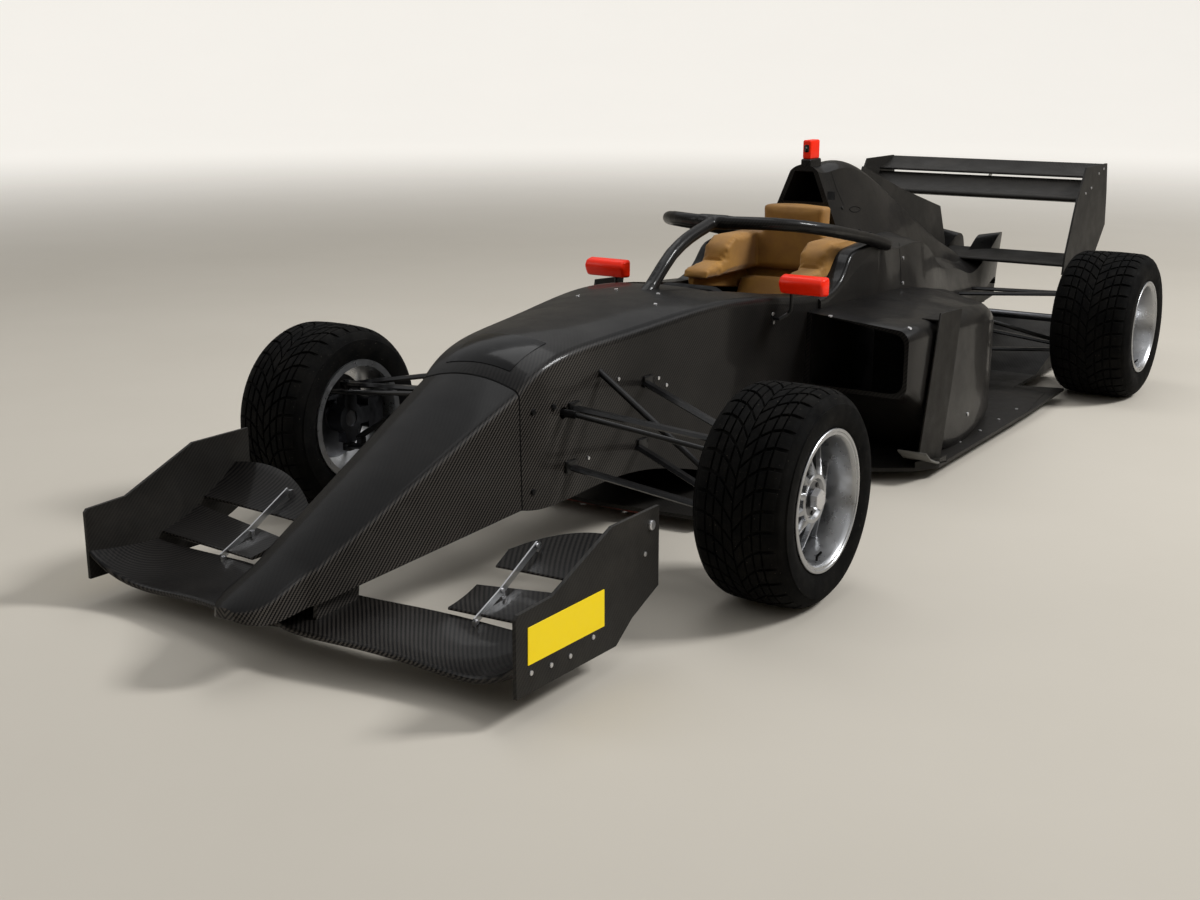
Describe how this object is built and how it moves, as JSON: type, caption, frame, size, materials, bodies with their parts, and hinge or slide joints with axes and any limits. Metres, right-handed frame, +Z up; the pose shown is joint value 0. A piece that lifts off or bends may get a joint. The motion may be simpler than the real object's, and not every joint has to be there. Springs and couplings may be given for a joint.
{
  "type": "open wheel racing car",
  "caption": "Black carbon open wheel racing car with a cockpit safety ring, grooved rain tyres, silver rims and orange red mirrors",
  "frame": {"origin": "On the ground, under the middle of the car's length and width", "axes": "+Z is up, the nose points to -Y, the driver's left is +X"},
  "size_m": [1.85, 4.865, 1.052],
  "materials": {
    "carbon_gloss": "glossy woven carbon under clear lacquer",
    "carbon_satin": "satin woven carbon, dark grey brown",
    "suspension_black": "satin black",
    "bare_metal": "machined",
    "red_paint": "glossy orange red",
    "plank_wood": "reddish brown laminate",
    "foam_tan": "tan covered foam",
    "cast_metal": "cast, dull",
    "lamp_red": "red lens",
    "exhaust_metal": "heat tinted",
    "grip_black": "black grips",
    "tyre_rubber": "grooved rubber, slightly dusty",
    "rim_metal": "silver, machined edges",
    "hub_metal": "machined"
  },
  "bodies": {
    "chassis": {"monocoque": "carbon_gloss", "cockpit_sides": "carbon_gloss", "nose_cone": "carbon_gloss", "engine_cover": "carbon_gloss", "sidepod_left": "carbon_gloss", "sidepod_right": "carbon_gloss", "front_wing_mainplane": "carbon_gloss", "front_wing_flaps": "carbon_gloss", "halo": "carbon_gloss", "front_wing_endplates": "carbon_satin", "shark_fin": "carbon_satin", "floor_vanes": "carbon_satin", "floor": "carbon_satin", "rear_wing_elements": "carbon_satin", "rear_wing_endplates": "carbon_satin", "beam_wing": "carbon_satin", "dash_bulkhead": "carbon_satin", "crash_structure": "carbon_satin", "front_upper_wishbones": "suspension_black", "front_lower_wishbones": "suspension_black", "front_pushrods": "suspension_black", "rear_upper_wishbones": "suspension_black", "rear_lower_wishbones": "suspension_black", "rear_pushrods": "suspension_black", "flap_adjusters": "bare_metal", "rear_uprights": "bare_metal", "radiators": "bare_metal", "mirrors": "red_paint", "camera_housing": "red_paint", "skid_plank": "plank_wood", "headrest": "foam_tan", "seat": "foam_tan", "engine": "cast_metal", "gearbox": "cast_metal", "rain_light": "lamp_red", "exhaust": "exhaust_metal"},
    "front_upright_left": {"front_upright_left": "bare_metal"},
    "front_upright_right": {"front_upright_right": "bare_metal"},
    "steering_rods": {"track_rods": "bare_metal"},
    "steering_wheel": {"steering_wheel": "grip_black"},
    "front_wheel_left": {"front_tyre_left": "tyre_rubber", "front_rim_left": "rim_metal", "front_hub_left": "hub_metal"},
    "front_wheel_right": {"front_tyre_right": "tyre_rubber", "front_rim_right": "rim_metal", "front_hub_right": "hub_metal"},
    "rear_wheel_left": {"rear_tyre_left": "tyre_rubber", "rear_rim_left": "rim_metal", "rear_hub_left": "hub_metal"},
    "rear_wheel_right": {"rear_tyre_right": "tyre_rubber", "rear_rim_right": "rim_metal", "rear_hub_right": "hub_metal"}
  },
  "joints": [
    {"name": "steer_left", "type": "hinge", "parent": "chassis", "child": "front_upright_left", "pos_m": [0.7, -1.2725, 0.28], "axis": [0, 0, 1], "range_deg": [-17, 17]},
    {"name": "front_axle_left", "type": "hinge", "parent": "front_upright_left", "child": "front_wheel_left", "pos_m": [0.772, -1.2725, 0.28], "axis": [1, 0, 0], "continuous": true},
    {"name": "rear_axle_left", "type": "hinge", "parent": "chassis", "child": "rear_wheel_left", "pos_m": [0.769, 1.6275, 0.29], "axis": [1, 0, 0], "continuous": true},
    {"name": "steer_right", "type": "hinge", "parent": "chassis", "child": "front_upright_right", "pos_m": [-0.7, -1.2725, 0.28], "axis": [0, 0, 1], "range_deg": [-17, 17]},
    {"name": "front_axle_right", "type": "hinge", "parent": "front_upright_right", "child": "front_wheel_right", "pos_m": [-0.772, -1.2725, 0.28], "axis": [1, 0, 0], "continuous": true},
    {"name": "rear_axle_right", "type": "hinge", "parent": "chassis", "child": "rear_wheel_right", "pos_m": [-0.769, 1.6275, 0.29], "axis": [1, 0, 0], "continuous": true},
    {"name": "rack_slide", "type": "slide", "parent": "chassis", "child": "steering_rods", "axis": [1, 0, 0], "range_m": [-0.0235, 0.0235]},
    {"name": "steering_column", "type": "hinge", "parent": "chassis", "child": "steering_wheel", "pos_m": [0, -0.4225, 0.56], "axis": [0, 0.9397, 0.342], "range_deg": [-175, 175]}
  ],
  "couplings": [
    {"joint": "steer_right", "follows": "steer_left", "ratio": 1},
    {"joint": "rack_slide", "follows": "steer_left", "m_per_rad": 0.0768},
    {"joint": "steering_column", "follows": "steer_left", "ratio": 10}
  ]
}
